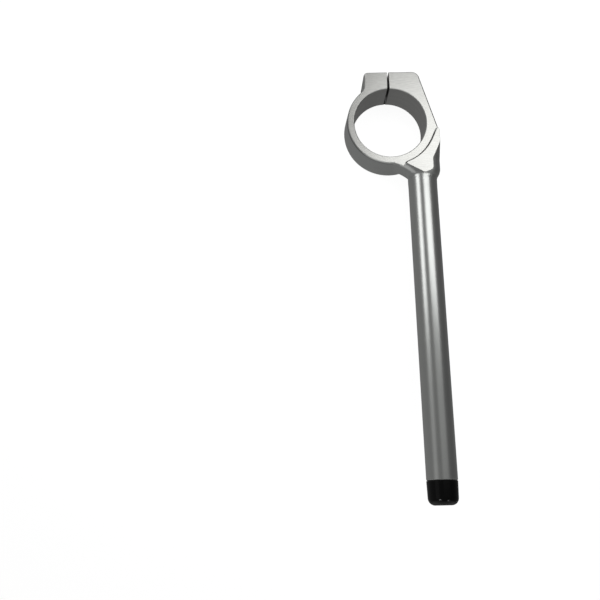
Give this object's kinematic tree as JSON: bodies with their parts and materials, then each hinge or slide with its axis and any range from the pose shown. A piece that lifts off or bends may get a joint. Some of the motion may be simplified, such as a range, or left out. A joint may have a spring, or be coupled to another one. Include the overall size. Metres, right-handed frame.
{
  "type": "clip-on handlebar",
  "caption": "Clip-on motorcycle handlebar: split fork-clamp ring with pinch ears, forged in one with a round bar that ends in a push-in plug.",
  "frame": {"origin": "on the fork-bore axis at the clamp's mid-height", "axes": "+Z along the fork bore, up on the raised pad's side; +Y from the bore to the slit; the bar runs towards -Y"},
  "size_m": [0.0725, 0.3315, 0.0501],
  "materials": {
    "body_aluminium": "bead-blasted and clear anodised, with milled faces",
    "bolt_steel": "plain stainless",
    "plug_plastic": "gloss black, moulded"
  },
  "bodies": {
    "root": {"handlebar_body": "body_aluminium", "pinch_bolts": "bolt_steel", "bar_end_plug": "plug_plastic"}
  },
  "joints": []
}
